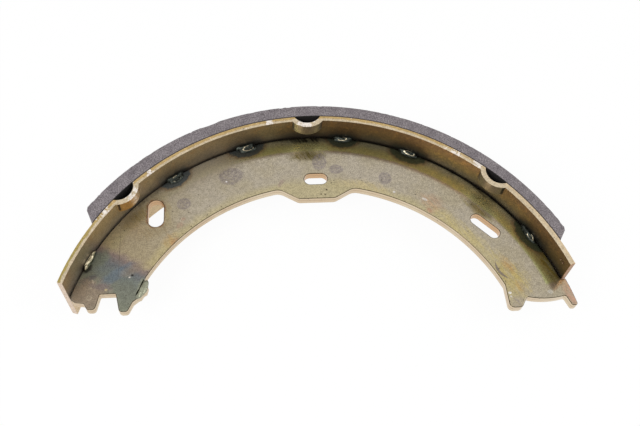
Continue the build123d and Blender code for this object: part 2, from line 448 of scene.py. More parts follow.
# These have a tint and a strength as well
RUST = tone(166, 124, 104)
# Some of these are painted light, not stains: the pale and olive patches under the middle and right dents and
# the band under the rim's end are painted reflections, and the dark ones under the dents are painted shade
PATCHES_AND_PAINTED_LIGHT = (
    ("round the left slot", (-63.0, -4.8), 6.5, 3.0, 25, tone(144, 126, 94), 0.6),
    ("beside the left slot", (-70.0, 0.6), 6.0, 2.6, 40, tone(136, 121, 78), 0.8),
    ("pale under the middle dent", (-2.9, 30.2), 6.0, 2.9, 0, tone(186, 178, 126), 0.95),
    ("olive below it", (-3.2, 26.4), 6.4, 2.0, 0, tone(114, 104, 60), 1.0),
    ("pale under the right dent", (66.4, 3.6), 6.8, 3.6, -45, tone(206, 196, 140), 0.95),
    ("olive below that one", (63.2, -0.8), 6.4, 1.6, -45, tone(140, 127, 80), 0.9),
    ("soot under the middle dent", (-2.9, 34.4), 10.0, 1.5, 0, tone(36, 35, 28), 0.95),
    ("soot under the right dent", (66.4, 7.4), 7.5, 1.3, -45, tone(40, 36, 28), 0.9),
    ("soot under the left dent", (-65.0, 10.2), 8.5, 0.8, 42, tone(48, 42, 34), 0.4),
    ("right of the left slot", (-59.0, 2.0), 1.6, 4.5, 0, tone(160, 142, 92), 0.5),
    ("by the inner edge, left", (-60.5, -15.5), 12.0, 2.6, 52, tone(182, 166, 122), 0.45),
    ("streak on the right", (58.0, -11.8), 18.0, 2.6, -47, tone(190, 174, 122), 0.75),
    ("yellow right of the tab", (20.0, 11.2), 9.0, 2.4, -17, tone(192, 175, 132), 0.7),
    ("mustard toe", (72.5, -30.5), 8.0, 4.6, -62, tone(182, 164, 108), 0.95),
    ("toe's tip", (72.6, -40.6), 2.4, 2.2, 0, tone(158, 146, 136), 0.9),
    ("rust below the left slot", (-53.8, -3.1), 1.5, 1.1, 30, RUST, 0.55),
    ("rust dots above it", (-52.6, -0.6), 0.8, 0.7, 0, RUST, 0.45),
    ("red at the inner edge", (-55.6, -10.0), 2.0, 1.1, 45, tone(150, 104, 92), 0.7),
    ("glow round it", (-57.4, -9.6), 2.6, 2.2, 45, tone(190, 150, 84), 0.45),
    ("at the tab's root", (-14.1, 14.2), 1.9, 0.8, 55, tone(146, 120, 116), 0.55),
    ("pink by the right slot", (45.4, 3.6), 4.6, 2.8, -35, tone(178, 146, 120), 0.6),
    ("rust under it", (44.2, -0.3), 1.6, 1.0, -35, tone(176, 126, 104), 0.6),
    ("toe, orange", (71.4, -25.0), 3.6, 1.6, -60, tone(186, 148, 100), 0.6),
    ("toe, lower orange", (74.8, -34.4), 2.2, 1.4, -60, tone(186, 150, 96), 0.5),
    ("hook's outer edge", (93.2, -36.2), 7.0, 2.3, -72, tone(192, 150, 126), 0.85),
    ("under the rim's end", (87.4, -25.5), 9.0, 2.6, -66, tone(156, 140, 62), 0.9),
    ("rust at the rim's end", (91.2, -29.6), 2.2, 1.3, -66, tone(160, 104, 52), 0.8),
)
# Worn spots under two of the dents, where the plate mirrors them less sharply
SCUFFS = (
    ("under the middle dent", (-2.9, 29.0), 8.0, 4.4, 0),
    ("under the right dent", (65.6, 2.4), 8.6, 5.0, -45),
)
print(len(RING_STAINS), "rings and", len(PATCHES_AND_PAINTED_LIGHT), "patches on the web")

# %% Marks and scratches of the web
# Small knocks and dots, with a tint
MARK_STRENGTH = 0.85
MARKS = (
    ("dark dot on the heated end", (-71.2, -23.7), 0.45, 0.4, 0, tone(26, 20, 16)),
    ("pale fleck beside it", (-72.2, -24.5), 0.4, 0.25, 30, tone(206, 198, 186)),
    ("knock on the outer prong", (-85.6, -25.6), 0.3, 0.9, 20, tone(170, 158, 140)),
    ("knock below it", (-86.2, -28.3), 0.5, 0.35, 0, tone(166, 154, 134)),
    ("knock by the notch", (-80.6, -29.2), 0.5, 0.4, 0, tone(184, 168, 128)),
    ("fleck in the second ring", (-35.7, 15.6), 0.4, 0.35, 0, tone(228, 222, 220)),
    ("fleck at the tab's right", (30.8, 8.6), 0.5, 0.4, 0, tone(228, 222, 218)),
    ("smudge by the pink stain", (42.6, 4.9), 1.2, 0.5, -30, tone(206, 198, 188)),
    ("spot on the toe", (70.4, -36.6), 0.6, 0.5, 0, tone(236, 232, 226)),
    ("spot below it", (70.6, -38.2), 0.35, 0.4, 0, tone(224, 216, 206)),
    ("smudge by the seat", (86.0, -36.8), 1.0, 0.9, 0, tone(190, 184, 170)),
    ("dot on the tab", (3.9, 10.6), 0.35, 0.4, 0, tone(58, 46, 34)),
    ("dot below it", (4.9, 6.7), 0.5, 0.35, 0, tone(58, 46, 34)),
    ("dots between them", (3.2, 8.5), 0.4, 0.3, 0, tone(70, 56, 40)),
    ("dot left of them", (1.6, 8.6), 0.35, 0.3, 0, tone(74, 60, 42)),
)
SCRIBED_LINE = ("scribed line near the notch", (-76.3, -14.5), 9.0, 0.14, 90, tone(86, 76, 62), 0.55)
PALE_RING = ("pale ring on the outer prong", (-86.6, -32.2), 1.1, 1.0, 0)
# A crescent scratched near the toe is a piece of a large ring, thickest in its middle
CRESCENT_CENTRE = (73.9, -24.1)
CRESCENT_RADIUS = 7.15
CRESCENT = ("crescent near the toe", (67.7, -27.7), 5.2, 9.0, -60)
# The left slot's middle, half the length of its straight sides, and the radius of its ends
LEFT_SLOT = (-63.14, 2.27)
LEFT_SLOT_HALF = 2.75
LEFT_SLOT_RADIUS = 3.05
# How far below the plate's top the punch stopped cutting and the steel broke
BREAK_DEPTH = 1.9
print(len(MARKS), "small marks on the web")

# %% The overheated end and the torn metal
# The border of the overheated end: a point on it, the way into it, how far its colours reach
HEAT_BORDER = (-73.6, -15.9)
HEAT_WAY = (-0.51, -0.86)
HEAT_REACH = 16.0
HEAT_SHADES = (
    (0.0, tone(148, 132, 118)), (0.14, tone(126, 112, 108)), (0.32, tone(104, 108, 112)),
    (0.52, tone(106, 114, 112)), (0.75, tone(112, 116, 106)), (1.0, tone(122, 126, 112)),
)
END_STAINS_AND_SHADE = (
    ("green by the first weld", (-83.6, -16.6), 4.2, 2.8, 40, tone(116, 121, 106), 0.75),
    ("blue below it", (-77.6, -23.6), 7.0, 2.1, 35, tone(104, 114, 122), 0.75),
    ("blue towards the rim", (-87.4, -24.8), 3.4, 1.1, 24, tone(88, 88, 92), 0.8),
    # Painted shade in the hollow under the first weld's ridges
    ("soot below the first weld", (-88.0, -20.4), 2.0, 1.3, 48, tone(46, 43, 36), 0.85),
    ("brown on the outer prong", (-87.0, -31.5), 8.0, 6.4, -12, tone(146, 131, 113), 0.95),
    ("purple above it", (-82.6, -28.0), 4.0, 1.3, -10, tone(122, 108, 110), 0.5),
    ("green on the inner prong", (-72.5, -31.0), 3.6, 5.0, 0, tone(118, 120, 108), 0.6),
    ("pale green on the lump", (-67.0, -29.4), 2.0, 4.2, -15, tone(148, 149, 128), 0.9),
    ("pale brown above the lump", (-71.5, -21.6), 4.5, 1.8, 25, tone(146, 132, 112), 0.4),
)
# The torn lump beside the inner prong: its middle, its turn, and the half sizes of the zone where
# its rough top isn't taken for a cut side
LUMP_PLACE = (-67.0, -29.2)
LUMP_TURN = 67
LUMP_ZONE = (4.6, 2.4)
# The crack behind the lump, from its upper to its lower end
CRACK = ((-67.0, -25.7), (-68.2, -29.0), (-69.6, -31.7))


def crack_stretches():
    """Middle, length and turn of each straight stretch of the crack."""
    for (upper_x, upper_y), (lower_x, lower_y) in zip(CRACK, CRACK[1:]):
        run_x = lower_x - upper_x
        run_y = lower_y - upper_y
        middle = ((upper_x + lower_x) / 2, (upper_y + lower_y) / 2)
        yield middle, math.hypot(run_x, run_y), math.degrees(math.atan2(run_y, run_x))


print(len(END_STAINS_AND_SHADE), "stains on the overheated end")


# %% [markdown]
# ## Burns round the welds
#
# Each weld burnt the plating black-green in a half oval on the web, and lower and wider on the
# rim's wall. A flat ellipse would climb the wall as a dark column, so this distance is measured in
# three directions: along the rim, inwards from it, and up from the web.

# %% Group: weld burn
burn_group, group_in, group_out = new_group(
    "Weld burn",
    [("Place", "Vector", None), ("Radius", "Float", 90.0), ("Angle", "Float", 0.0), ("Height", "Float", 0.0),
     ("Weld angle", "Float", 0.0), ("Half length", "Float", 7.0), ("Half width", "Float", 5.0),
     ("Half height", "Float", 2.5)],
    [("Distance", "Float")],
)
tree = burn_group
MM_PER_DEGREE = RIM_INNER_RADIUS / MM * math.pi / 180
along = product(tree, calc(tree, "SUBTRACT", group_in["Angle"], group_in["Weld angle"]), MM_PER_DEGREE)
inward = calc(tree, "SUBTRACT", RIM_INNER_RADIUS / MM, group_in["Radius"])
upward = calc(tree, "SUBTRACT", group_in["Height"], WEB_TOP / MM)
ways = ((along, "Half length"), (inward, "Half width"), (upward, "Half height"))
reach = length(tree, *[calc(tree, "DIVIDE", distance, group_in[half]) for distance, half in ways])
ragged = calc(tree, "SUBTRACT", noise(tree, group_in["Place"], 0.6, 4.0, 0.6), 0.5)
fill(tree, group_out, Distance=calc(tree, "MULTIPLY_ADD", ragged, 0.4, reach))
tally("burn group", tree)

# Angle of each weld, and half length and half width of its burn in mm
BURNS = (
    (-62.6, 4.4, 1.2), (-34.3, 7.0, 4.8), (-15.6, 7.8, 5.2),
    (7.8, 6.6, 4.6), (24.3, 8.2, 5.2), (59.6, 8.6, 4.8),
)


def weld_burn(tree, place, half_height):
    """Distance to the nearest weld's burn, 1 on its edge, as the least of all six."""
    here = {name: place[name] for name in ("Place", "Radius", "Angle", "Height")}
    burns = [
        use(
            tree, burn_group, **here, Weld_angle=weld_angle, Half_length=half_length, Half_width=half_width,
            Half_height=half_height,
        )["Distance"]
        for weld_angle, half_length, half_width in BURNS
    ]
    return fold(tree, "MINIMUM", burns)


# %% [markdown]
# ## Painting the web, layer by layer
#
# A painter would start with the plating and lay each stain over what is there, and so does this material:
# `colour` is always the finish so far, and each layer blends the next tint over it through a mask. Some
# layers are painted light rather than stains: reflections of the rim and its dents, and shade in the corner
# and under the dents. The order matters, because the painted corner shade and the burns cover the older
# stains.

# %% Web: plating, yellow edge and painted olive reflection of the rim
web_steel, tree, shader, place, point = new_material("plated web")
grain = use(tree, grain_group, Place=point)
colour = blend(tree, ramp(tree, grain["Clouds"], 0.35, 0.7), tone(174, 164, 146), tone(170, 159, 135))

# The underside keeps this plain plating
underside = colour
left_blush = ramp(tree, place["Angle"], -62.0, -30.0, 1.0, 0.0)
colour = blend(tree, product(tree, left_blush, 0.85), colour, tone(156, 141, 110))

# Yellow drained to the inner edge, and a painted olive reflection of the rim in a band beside it
ragged = calc(tree, "MULTIPLY_ADD", noise(tree, point, 0.22, 4.0, 0.6), 3.5, -1.75)
edge_yellow = ramp(tree, calc(tree, "ADD", place["Inset"], ragged), 0.2, 4.5, 0.6, 0.0)
colour = blend(tree, edge_yellow, colour, tone(186, 173, 128))
from_middle = calc(tree, "ABSOLUTE", place["Angle"])
under_rim = ramp(tree, from_middle, RIM_HALF_ANGLE - 0.4, RIM_HALF_ANGLE + 0.6, 1.0, 0.0)
rim_reflection_radius = calc(tree, "MULTIPLY_ADD", ragged, 0.3, place["Radius"])
painted_rim_reflection = product(
    tree, ramp(tree, rim_reflection_radius, 90.3, 91.5), ramp(tree, place["Angle"], -22.0, -10.0, 0.1, 0.9),
    ramp(tree, rim_reflection_radius, 92.6, 96.0, 1.0, 0.4), under_rim,
)
colour = blend(tree, painted_rim_reflection, colour, tone(180, 182, 122))
tally("web with its plating", tree)

# %% Web: streaked patches, painted reflections and shade, and rings
# The patches are broken into faint streaks that slant across the plate (degrees)
STREAK_WAY = -58
STREAK_STRETCH = 6.0
squeezed = node(tree, "Mapping", vector_type="POINT")
feed(tree, squeezed.inputs["Vector"], turned(tree, point, math.radians(-STREAK_WAY)))
squeezed.inputs["Scale"].default_value = (1 / STREAK_STRETCH, 1.0, 1.0)
streaked = ramp(tree, noise(tree, squeezed.outputs[0], 0.9, 3.0, 0.6), 0.38, 0.6, 0.4, 1.0)
colour = paint_stains_and_light(tree, colour, point, PATCHES_AND_PAINTED_LIGHT, 0.55, 0.7, streaked)

# Rings of dried fluid: an outline that is broken up by mottling, and a faint mottled inside
RING_LINE = 0.86
mottle = ramp(tree, noise(tree, point, 1.3, 3.0, 0.7), 0.42, 0.6)
inside_strength = calc(tree, "MULTIPLY_ADD", mottle, 0.55, 0.2)
outline_strength = calc(tree, "MULTIPLY_ADD", mottle, 0.35, 0.35)
for label, *oval in RING_STAINS:
    stain = use_oval(tree, label, point, *oval, 0.2, 0.3)
    inside = product(tree, stain["Mask"], inside_strength)
    outline = ramp(tree, gap(tree, stain["Distance"], RING_LINE), 0.08, 0.36, 1.0, 0.0)
    ring = calc(tree, "MAXIMUM", product(tree, outline, outline_strength), inside)
    colour = blend(tree, ring, colour, PURPLE_GREY)
tally("web with patches and rings", tree)

# %% Web: the end that was overheated
# A purple border comes first, then blue and green as far as the inner prong's tip
from_border = vector_calc(tree, "SUBTRACT", point, (*HEAT_BORDER, 0.0))
waver = calc(tree, "MULTIPLY_ADD", noise(tree, point, 0.16, 5.0, 0.65), 7.0, -3.5)
heat_depth = calc(tree, "ADD", vector_calc(tree, "DOT_PRODUCT", from_border, (*HEAT_WAY, 0.0)), waver)
heat_colours = node(tree, "ValToRGB")
feed(tree, heat_colours.inputs[0], ramp(tree, heat_depth, 0.0, HEAT_REACH, smooth=False))
stops = heat_colours.color_ramp.elements
stops[0].color = HEAT_SHADES[0][1]
stops[1].color = HEAT_SHADES[-1][1]
for position, tint in HEAT_SHADES[1:-1]:
    stops.new(position).color = tint
colour = blend(tree, ramp(tree, heat_depth, -1.6, 1.6, 0.0, 0.92), colour, heat_colours.outputs[0])
colour = paint_stains_and_light(tree, colour, point, END_STAINS_AND_SHADE, 0.4, 0.6)
tally("web with its overheated end", tree)

# %% Web: rust round the left slot, scratches and marks
# The slot's outline is a straight line with rounded ends
off_middle, along, _ = split(tree, vector_calc(tree, "SUBTRACT", point, (*LEFT_SLOT, 0.0)))
past_end = calc(tree, "SUBTRACT", calc(tree, "ABSOLUTE", along), LEFT_SLOT_HALF)
off_slot = length(tree, off_middle, calc(tree, "MAXIMUM", past_end, 0.0))
rust = product(
    tree, ramp(tree, off_slot, LEFT_SLOT_RADIUS + 0.3, LEFT_SLOT_RADIUS + 1.2, 0.75, 0.0),
    ramp(tree, noise(tree, point, 0.55), 0.42, 0.58, 0.25, 1.0),
)
colour = blend(tree, rust, colour, tone(128, 84, 50))

to_centre = vector_calc(tree, "DISTANCE", point, (*CRESCENT_CENTRE, WEB_TOP / MM))
along_arc = use_oval(tree, CRESCENT[0], point, *CRESCENT[1:], 0.1, 0.0)["Distance"]
thickness = ramp(tree, along_arc, 0.2, 0.95, 0.5, 0.02)
off_arc = calc(tree, "SUBTRACT", gap(tree, to_centre, CRESCENT_RADIUS), thickness)
before_end = ramp(tree, along_arc, 0.9, 1.0, 1.0, 0.0)
crescent = product(tree, ramp(tree, off_arc, -0.15, 0.15, 0.8, 0.0), before_end)
colour = blend(tree, crescent, colour, tone(116, 106, 104))
colour = paint_stains_and_light(tree, colour, point, [SCRIBED_LINE], 0.5, 0.1)
to_ring = use_oval(tree, PALE_RING[0], point, *PALE_RING[1:], 0.3, 0.2)["Distance"]
pale_ring = ramp(tree, gap(tree, to_ring, 0.8), 0.1, 0.4, 0.4, 0.0)
colour = blend(tree, pale_ring, colour, tone(188, 176, 152))
colour = paint_stains_and_light(tree, colour, point, [(*mark, MARK_STRENGTH) for mark in MARKS], 0.3, 0.5)
tally("web with scratches and marks", tree)

# %% Web: burns, crack and painted corner shade
burn = weld_burn(tree, place, 4.0)
colour = blend(tree, ramp(tree, burn, 1.0, 1.28, 0.6, 0.0), colour, tone(124, 98, 72))
burn_rim = blend(tree, ramp(tree, place["Angle"], -20.0, 20.0), tone(82, 90, 92), tone(84, 94, 72))
burnt = blend(tree, ramp(tree, burn, 0.25, 0.75), tone(40, 43, 38), burn_rim)
colour = blend(tree, ramp(tree, burn, 0.9, 1.05, 0.95, 0.0), colour, burnt)
# The crack is also cut into the web as a groove, in the cell that builds the web; its near-black here is
# painted shade in that groove
for middle, stretch, stretch_turn in crack_stretches():
    crack = use_oval(tree, "crack", point, middle, stretch / 2 + 0.2, 0.3, stretch_turn, 0.4, 0.2)
    colour = blend(tree, crack["Mask"], colour, tone(20, 20, 18))

# Painted shade in the corner under the rim, less on the left
corner = calc(tree, "ADD", place["Radius"], product(tree, ragged, 0.5))
less_left = ramp(tree, place["Angle"], -40.0, -10.0, 0.12, 1.0)
painted_corner_shade = product(tree, ramp(tree, corner, 95.8, 97.3, 0.0, 0.75), under_rim, less_left)
colour = blend(tree, painted_corner_shade, colour, tone(44, 38, 30))
colour = blend(tree, ramp(tree, place["Up"], -0.6, -0.2), underside, colour)
colour = shade(tree, colour, grain["Specks"], 0.36, 0.64, 0.78, 1.2)
tally("web with burns and soot", tree)

# %% Web: cut sides and gloss
# The sides are smooth and pale where the punch entered, then a brown line, then the coarser break
lean = calc(tree, "ABSOLUTE", place["Up"])
side_clouds = ramp(tree, grain["Clouds"], 0.3, 0.7)
side_colour = blend(tree, side_clouds, tone(206, 184, 153), tone(216, 200, 172))
in_slot = product(tree, ramp(tree, place["Inset"], 1.5, 2.5), ramp(tree, from_middle, 58.0, 60.0, 1.0, 0.0))
side_colour = blend(tree, in_slot, side_colour, tone(204, 168, 128))
break_line = calc(tree, "MULTIPLY_ADD", noise(tree, point, 0.5), 0.5, WEB_TOP / MM - BREAK_DEPTH)
off_line = gap(tree, place["Height"], break_line)
side_colour = blend(tree, ramp(tree, off_line, 0.1, 0.32, 0.45, 0.0), side_colour, tone(150, 116, 86))
lump_zone = use_oval(tree, "torn lump", point, LUMP_PLACE, *LUMP_ZONE, LUMP_TURN, 0.1, 0.0)["Mask"]
above = ramp(tree, place["Height"], WEB_TOP / MM - 0.9, WEB_TOP / MM - 0.6)
off_lump = calc(tree, "SUBTRACT", 1.0, product(tree, lump_zone, above))
# Painted shade: a dark line on the rounded edges, where they lean away from the top face
painted_edge_shade = product(tree, ramp(tree, lean, 0.9, 0.985, 0.9, 0.0), off_lump)
colour = blend(tree, painted_edge_shade, colour, tone(52, 42, 28))
cut_side = product(tree, ramp(tree, lean, 0.3, 0.5, 1.0, 0.0), off_lump)
colour = blend(tree, cut_side, colour, side_colour)
colour = blend(tree, product(tree, grain["Dark pits"], 0.7), colour, tone(62, 54, 42))

gloss = ramp(tree, grain["Specks"], 0.3, 0.7, 0.2, 0.11)
dulling = ramp(tree, place["Angle"], -28.0, -12.0, 2.8, 1.0)
for label, *oval in SCUFFS:
    scuff = use_oval(tree, label, point, *oval, 0.5, 0.3)["Mask"]
    dulling = calc(tree, "MULTIPLY_ADD", scuff, 0.9, dulling)
fill(tree, shader.inputs, Base_Color=colour, Metallic=0.88, Roughness=product(tree, gloss, dulling))
add_bump(tree, shader, grain["Height"], 0.007, 0.6)
tally("whole web finish", tree)

# %% [markdown]
# ## The rim's finish
#
# The rim is the same plated steel, but its wall stands upright and shows the plating's colour
# straight on: olive-tan to the left, amber-brown to the right. Its sheared top edge is pale, with
# white flecks where it was knocked, and each weld leaves a burn at its foot.

# %% Rim: the wall
rim_steel, tree, shader, place, point = new_material("plated rim")
grain = use(tree, grain_group, Place=point)
to_the_right = calc(
    tree, "MULTIPLY_ADD", noise(tree, point, 0.05), 40.0, calc(tree, "SUBTRACT", place["Angle"], 20.0)
)
right_side = ramp(tree, to_the_right, -30.0, 12.0)
far_left = ramp(tree, place["Angle"], -56.0, -30.0, 1.0, 0.0)
colour = blend(tree, right_side, tone(142, 124, 92), tone(104, 76, 46))
colour = blend(tree, far_left, colour, tone(168, 148, 112))
amber_drops = ramp(tree, noise(tree, point, 0.35, 4.0, 0.7), 0.5, 0.7, 0.0, 0.45)
colour = blend(tree, amber_drops, colour, tone(144, 104, 54))

# Painted shade: the wall is duller and darker towards the web
up_wall = calc(tree, "SUBTRACT", place["Height"], WEB_TOP / MM)
wall_shade_height = calc(tree, "MULTIPLY_ADD", noise(tree, point, 0.12), 5.0, calc(tree, "SUBTRACT", up_wall, 2.5))
shaded_wall = blend(tree, right_side, tone(106, 96, 82), tone(56, 48, 40))
shaded_wall = blend(tree, far_left, shaded_wall, tone(138, 128, 112))
colour = blend(tree, ramp(tree, wall_shade_height, 0.5, 10.5, 1.0, 0.0), colour, shaded_wall)

# The dents have a tint of their own, and the left one is worn pale in its middle, where a painted highlight
# lies as well
on_dent = ramp(tree, place["Radius"], 96.6, 97.3, 0.85, 0.0)
past_left = ramp(tree, place["Angle"], -30.0, -10.0)
colour = blend(tree, on_dent, colour, blend(tree, past_left, tone(186, 140, 74), tone(122, 108, 88)))
worn_and_highlight = product(tree, on_dent, ramp(tree, noise(tree, point, 1.1), 0.42, 0.56, 0.1, 0.9))
left_dent = ramp(tree, gap(tree, place["Angle"], LEFT_DENT_ANGLE), 1.0, 2.2, 1.0, 0.0)
colour = blend(tree, product(tree, worn_and_highlight, left_dent), colour, tone(214, 202, 180))

# Burns and painted shade at the foot, and paler plating on the part of the wall below the web
burn = weld_burn(tree, place, 3.2)
colour = blend(tree, ramp(tree, burn, 0.6, 1.15, 0.85, 0.0), colour, tone(40, 40, 36))
less_left = ramp(tree, place["Angle"], -40.0, -10.0, 0.15, 1.0)
painted_foot_shade = product(tree, ramp(tree, up_wall, 0.1, 1.1, 0.7, 0.0), less_left)
colour = blend(tree, painted_foot_shade, colour, tone(38, 33, 27))
below = ramp(tree, place["Height"], WEB_BOTTOM / MM - 1.0, WEB_BOTTOM / MM, 1.0, 0.0)
colour = blend(tree, below, colour, tone(206, 180, 138))
tally("rim with its wall", tree)

# %% Rim: creases and the sheared edges
# Angle of the crease that the press left beside each dent, and how far down its wall it goes. The crease
# isn't modelled, so its dark line is painted shade
CREASES = (-50.2, -4.2, 48.7)
CREASE_FOOT = RIM_TOP / MM - 4.6
to_crease = fold(tree, "MINIMUM", [gap(tree, place["Angle"], crease) for crease in CREASES])
above_foot = ramp(tree, place["Height"], CREASE_FOOT - 0.6, CREASE_FOOT + 0.4)
painted_crease_shade = product(tree, ramp(tree, to_crease, 0.08, 0.3, 0.95, 0.0), above_foot)
colour = blend(tree, painted_crease_shade, colour, tone(38, 28, 16))

# The edges are yellow-tan on the lining's side and pale on the web's side
tan = blend(tree, ramp(tree, place["Angle"], -64.0, -50.0), tone(164, 146, 86), tone(186, 158, 106))
tan = blend(tree, ramp(tree, place["Angle"], 30.0, 46.0, 0.0, 0.75), tan, tone(208, 190, 162))
split_line = calc(tree, "MULTIPLY_ADD", noise(tree, point, 0.25, 4.0, 0.7), 1.8, RIM_INNER_RADIUS / MM)
past_line = ramp(tree, calc(tree, "SUBTRACT", place["Radius"], split_line), -0.2, 0.3)
edge_colour = blend(tree, past_line, tone(200, 184, 156), tan)

# Where the upper edge was knocked bright: middle and half length (degrees)
KNOCKS = ((-54.0, 2.6), (-46.0, 2.4), (-40.0, 1.2), (-9.6, 1.4), (-1.6, 2.2), (35.0, 1.6), (40.6, 1.6))
knocks = [
    ramp(tree, gap(tree, place["Angle"], middle), half * 0.4, half * 1.2, 0.2, 0.0) for middle, half in KNOCKS
]
knock = calc(tree, "ADD", fold(tree, "MAXIMUM", knocks), noise(tree, point, 0.7, 4.0, 0.7))
edge_colour = blend(tree, ramp(tree, knock, 0.64, 0.7, 0.0, 0.9), edge_colour, tone(232, 224, 216))
edge_spots = ramp(tree, noise(tree, point, 0.9, 3.0, 0.6), 0.58, 0.66, 0.0, 0.35)
edge_colour = blend(tree, edge_spots, edge_colour, tone(150, 118, 82))
HALF_RIM = RIM_TOP / MM / 2
at_edge = ramp(tree, gap(tree, place["Height"], HALF_RIM), HALF_RIM - 0.6, HALF_RIM - 0.3)
sheared = product(tree, ramp(tree, calc(tree, "ABSOLUTE", place["Up"]), 0.5, 0.9), at_edge)
tally("rim with creases and edges", tree)

# %% Rim: the outer face and the ends
# The outer face is plain plating where it shows past the lining. Where the lining covers it, the face is
# painted near-black: painted shade in the backs of the dents, which stand open beside the lining, and the
# same dark reaches a little past each end
outer_clouds = ramp(tree, grain["Clouds"], 0.35, 0.65)
outer_colour = blend(tree, outer_clouds, tone(160, 142, 102), tone(138, 118, 78))
ragged_angle = calc(tree, "MULTIPLY_ADD", noise(tree, point, 0.4), 2.4, place["Angle"])
painted_pocket_shade = product(
    tree, ramp(tree, ragged_angle, HEEL_ANGLE - 0.4, HEEL_ANGLE + 0.4),
    ramp(tree, ragged_angle, TOE_ANGLE + 1.8, TOE_ANGLE + 2.6, 1.0, 0.0),
)
outer_colour = blend(tree, painted_pocket_shade, outer_colour, tone(30, 24, 20))
colour = blend(tree, ramp(tree, place["Outward"], 0.2, 0.5), colour, outer_colour)
colour = blend(tree, sheared, colour, edge_colour)
from_middle = calc(tree, "ABSOLUTE", place["Angle"])
end_cut = ramp(tree, from_middle, RIM_HALF_ANGLE - 0.12, RIM_HALF_ANGLE - 0.04)
end_colour = blend(tree, right_side, tone(210, 188, 166), tone(160, 118, 78))
colour = blend(tree, end_cut, colour, end_colour)
colour = shade(tree, colour, grain["Specks"], 0.36, 0.64, 0.8, 1.2)
colour = blend(tree, product(tree, grain["Dark pits"], 0.5), colour, tone(50, 40, 28))
roughness = ramp(tree, grain["Specks"], 0.3, 0.7, 0.44, 0.3)
fill(tree, shader.inputs, Base_Color=colour, Metallic=0.7, Roughness=roughness)
add_bump(tree, shader, grain["Height"], 0.03, 0.6)
tally("whole rim finish", tree)

# %% [markdown]
# ## The lining's finish
#
# Friction lining is a moulded mix of mineral fibre, resin and metal powder, ground to fit the
# drum. It is dark grey with a purple cast, and its grains are large enough to see: fine noise
# makes the matrix, and the middles of sparse cells make the pale mineral flakes. The outer face
# also has the fine lines that the grinding wheel left round it.

# %% Material: friction lining
lining_mix, tree, shader, place, point = new_material("friction lining")
matrix = noise(tree, point, 2.0, 3.0, 0.75)
patches = noise(tree, point, 0.3, 4.0, 0.65)
colour = blend(tree, ramp(tree, patches, 0.35, 0.68), tone(124, 117, 119), tone(108, 101, 104))
colour = shade(tree, colour, matrix, 0.36, 0.64, 0.5, 1.56)
flakes = ramp(tree, cells(tree, point, 1.2), 0.08, 0.2, 0.4, 0.0)
colour = blend(tree, flakes, colour, tone(168, 162, 164))
nicks = ramp(tree, noise(tree, point, 0.7, 2.0, 0.5), 0.3, 0.36, 0.5, 0.0)
colour = blend(tree, nicks, colour, tone(70, 64, 64))

# Painted shade: the inner face, seen in the open pockets behind the dents, is painted near-black
INNER_FACE = LINING_INNER_RADIUS / MM
lining_pocket_shade = ramp(tree, place["Radius"], INNER_FACE + 0.05, INNER_FACE + 0.3, 1.0, 0.0)
colour = blend(tree, lining_pocket_shade, colour, tone(26, 22, 20))
round_and_up = node(tree, "CombineXYZ")
feed(tree, round_and_up.inputs[0], product(tree, place["Angle"], 0.1))
feed(tree, round_and_up.inputs[1], place["Height"])
grinding = noise(tree, round_and_up.outputs[0], 1.4)
ground = shade(tree, colour, grinding, 0.35, 0.65, 0.82, 1.14)
colour = blend(tree, ramp(tree, place["Outward"], 0.6, 0.9), colour, ground)
fill(tree, shader.inputs, Base_Color=colour, Roughness=ramp(tree, matrix, 0.3, 0.7, 0.75, 0.95))
add_bump(tree, shader, matrix, 0.1, 0.7)
tally("lining finish", tree)

# %% [markdown]
# ## The bonding film's finish
#
# The glue shows only as a thin dark line between the rim and the lining. Its solid is right as it
# is, so it needs no new mesh, only a smeared dark finish.

# %% Material: bonding film
bond_film, tree, shader, place, point = new_material("bonding film")
smear = noise(tree, point, 0.8)
colour = blend(tree, ramp(tree, smear, 0.35, 0.7), tone(40, 34, 30), tone(76, 62, 50))
fill(tree, shader.inputs, Base_Color=colour, Roughness=ramp(tree, smear, 0.3, 0.7, 0.6, 0.85))
add_bump(tree, shader, smear, 0.05, 0.6)
tally("film finish", tree)

# %% [markdown]
# ## The welds' finish
#
# Weld flash is dull dark steel with a heat tint. Parts of the lip of each crater are painted pale, and so are
# the tops of the ridges that the first weld threw up: painted highlights, so that the dark metal shows its
# glints.

# %% Material: weld metal
# Angle, radius of the middle, half length, half width and height of each weld's bead (mm)
BEADS = (
    (-62.9, 96.4, 3.8, 0.8, 0.8), (-34.3, 95.8, 3.2, 1.5, 0.9), (-15.4, 95.7, 3.6, 1.5, 0.9),
    (7.7, 96.4, 3.2, 1.2, 1.1), (24.5, 96.4, 3.8, 1.2, 1.1), (60.0, 96.3, 3.2, 1.1, 1.0),
)
CRATER_SHARE = 0.55

weld_steel, tree, shader, place, point = new_material("weld metal")
crust = noise(tree, point, 1.3, 4.0, 0.65)
past_first = ramp(tree, place["Angle"], -55.0, -50.0)
dark_metal = blend(tree, past_first, tone(62, 64, 50), tone(32, 35, 32))
light_metal = blend(tree, past_first, tone(104, 106, 86), tone(66, 70, 64))
colour = blend(tree, ramp(tree, crust, 0.38, 0.62), dark_metal, light_metal)
lips = []
for bead_angle, middle, half_length, half_width, _ in BEADS:
    spot = polar(middle * MM, bead_angle)
    crater = (half_length * CRATER_SHARE, half_width * CRATER_SHARE, -bead_angle)
    lips.append(use_oval(tree, "crater", point, (spot.x / MM, spot.y / MM), *crater, 0.1, 0.5)["Distance"])
off_lip = gap(tree, fold(tree, "MINIMUM", lips), 1.05)
